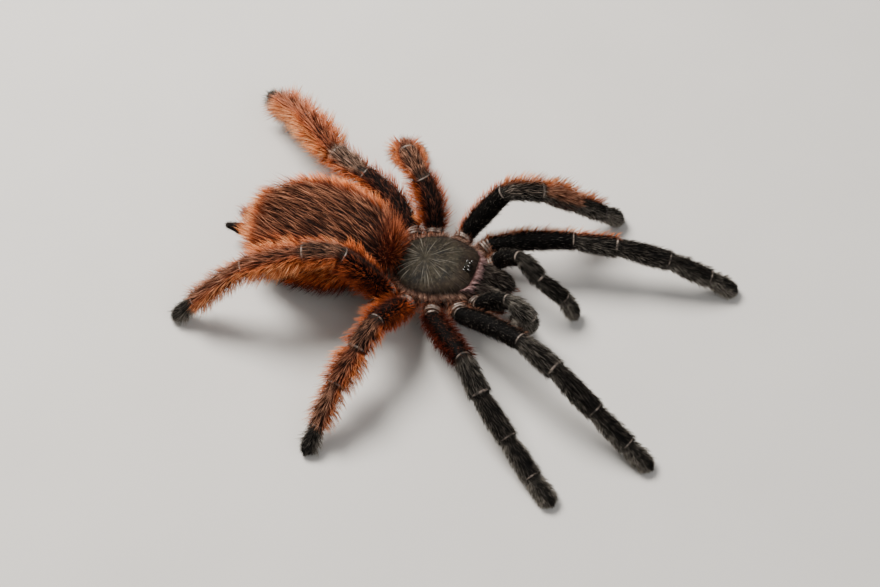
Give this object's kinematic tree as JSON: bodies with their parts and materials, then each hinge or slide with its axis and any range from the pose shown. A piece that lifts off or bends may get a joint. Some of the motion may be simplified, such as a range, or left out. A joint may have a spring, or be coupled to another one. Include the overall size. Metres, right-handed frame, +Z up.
{
  "type": "tarantula",
  "caption": "Life-size tarantula standing on level ground, velvety black in front, with orange-fringed hind legs, a domed brown and orange abdomen and a low olive-black carapace.",
  "frame": {"origin": "under the middle of the spread legs' outline, on the ground the feet stand on", "axes": "+Z up, the spider faces -Y, its left side is +X"},
  "size_m": [0.087, 0.1144, 0.0229],
  "materials": {
    "shield": "olive-black shell with fine pale hair streaks",
    "eyes": "wet gloss",
    "fangs": "polished dark horn",
    "black_coat": "velvety bristles",
    "brown_coat": "long combed bristles",
    "orange_coat": "long soft fringe"
  },
  "bodies": {
    "root": {"carapace": "shield", "eye_mound": "eyes", "chelicera_left": "black_coat", "chelicera_right": "black_coat", "fang_left": "fangs", "fang_right": "fangs", "underbody": "brown_coat", "waist": "brown_coat", "abdomen": "brown_coat", "spinneret_left": "black_coat", "spinneret_right": "black_coat", "leg_1_left_femur": "black_coat", "leg_1_left_patella": "black_coat", "leg_1_left_tibia": "black_coat", "leg_1_left_metatarsus": "black_coat", "leg_1_left_tarsus": "black_coat", "leg_1_right_femur": "black_coat", "leg_1_right_patella": "black_coat", "leg_1_right_tibia": "black_coat", "leg_1_right_metatarsus": "black_coat", "leg_1_right_tarsus": "black_coat", "leg_2_left_femur": "black_coat", "leg_2_left_patella": "black_coat", "leg_2_left_tibia": "black_coat", "leg_2_left_metatarsus": "black_coat", "leg_2_left_tarsus": "black_coat", "leg_2_right_femur": "black_coat", "leg_2_right_patella": "black_coat", "leg_2_right_tibia": "black_coat", "leg_2_right_metatarsus": "black_coat", "leg_2_right_tarsus": "black_coat", "leg_3_left_femur": "orange_coat", "leg_3_left_patella": "orange_coat", "leg_3_left_tibia": "orange_coat", "leg_3_left_metatarsus": "orange_coat", "leg_3_left_tarsus": "black_coat", "leg_3_right_femur": "orange_coat", "leg_3_right_patella": "orange_coat", "leg_3_right_tibia": "orange_coat", "leg_3_right_metatarsus": "orange_coat", "leg_3_right_tarsus": "black_coat", "leg_4_left_femur": "orange_coat", "leg_4_left_patella": "orange_coat", "leg_4_left_tibia": "orange_coat", "leg_4_left_metatarsus": "orange_coat", "leg_4_left_tarsus": "black_coat", "leg_4_right_femur": "orange_coat", "leg_4_right_patella": "orange_coat", "leg_4_right_tibia": "orange_coat", "leg_4_right_metatarsus": "orange_coat", "leg_4_right_tarsus": "black_coat", "palp_left_femur": "black_coat", "palp_left_patella": "black_coat", "palp_left_tibia": "black_coat", "palp_left_tarsus": "black_coat", "palp_right_femur": "black_coat", "palp_right_patella": "black_coat", "palp_right_tibia": "black_coat", "palp_right_tarsus": "black_coat"}
  },
  "joints": []
}
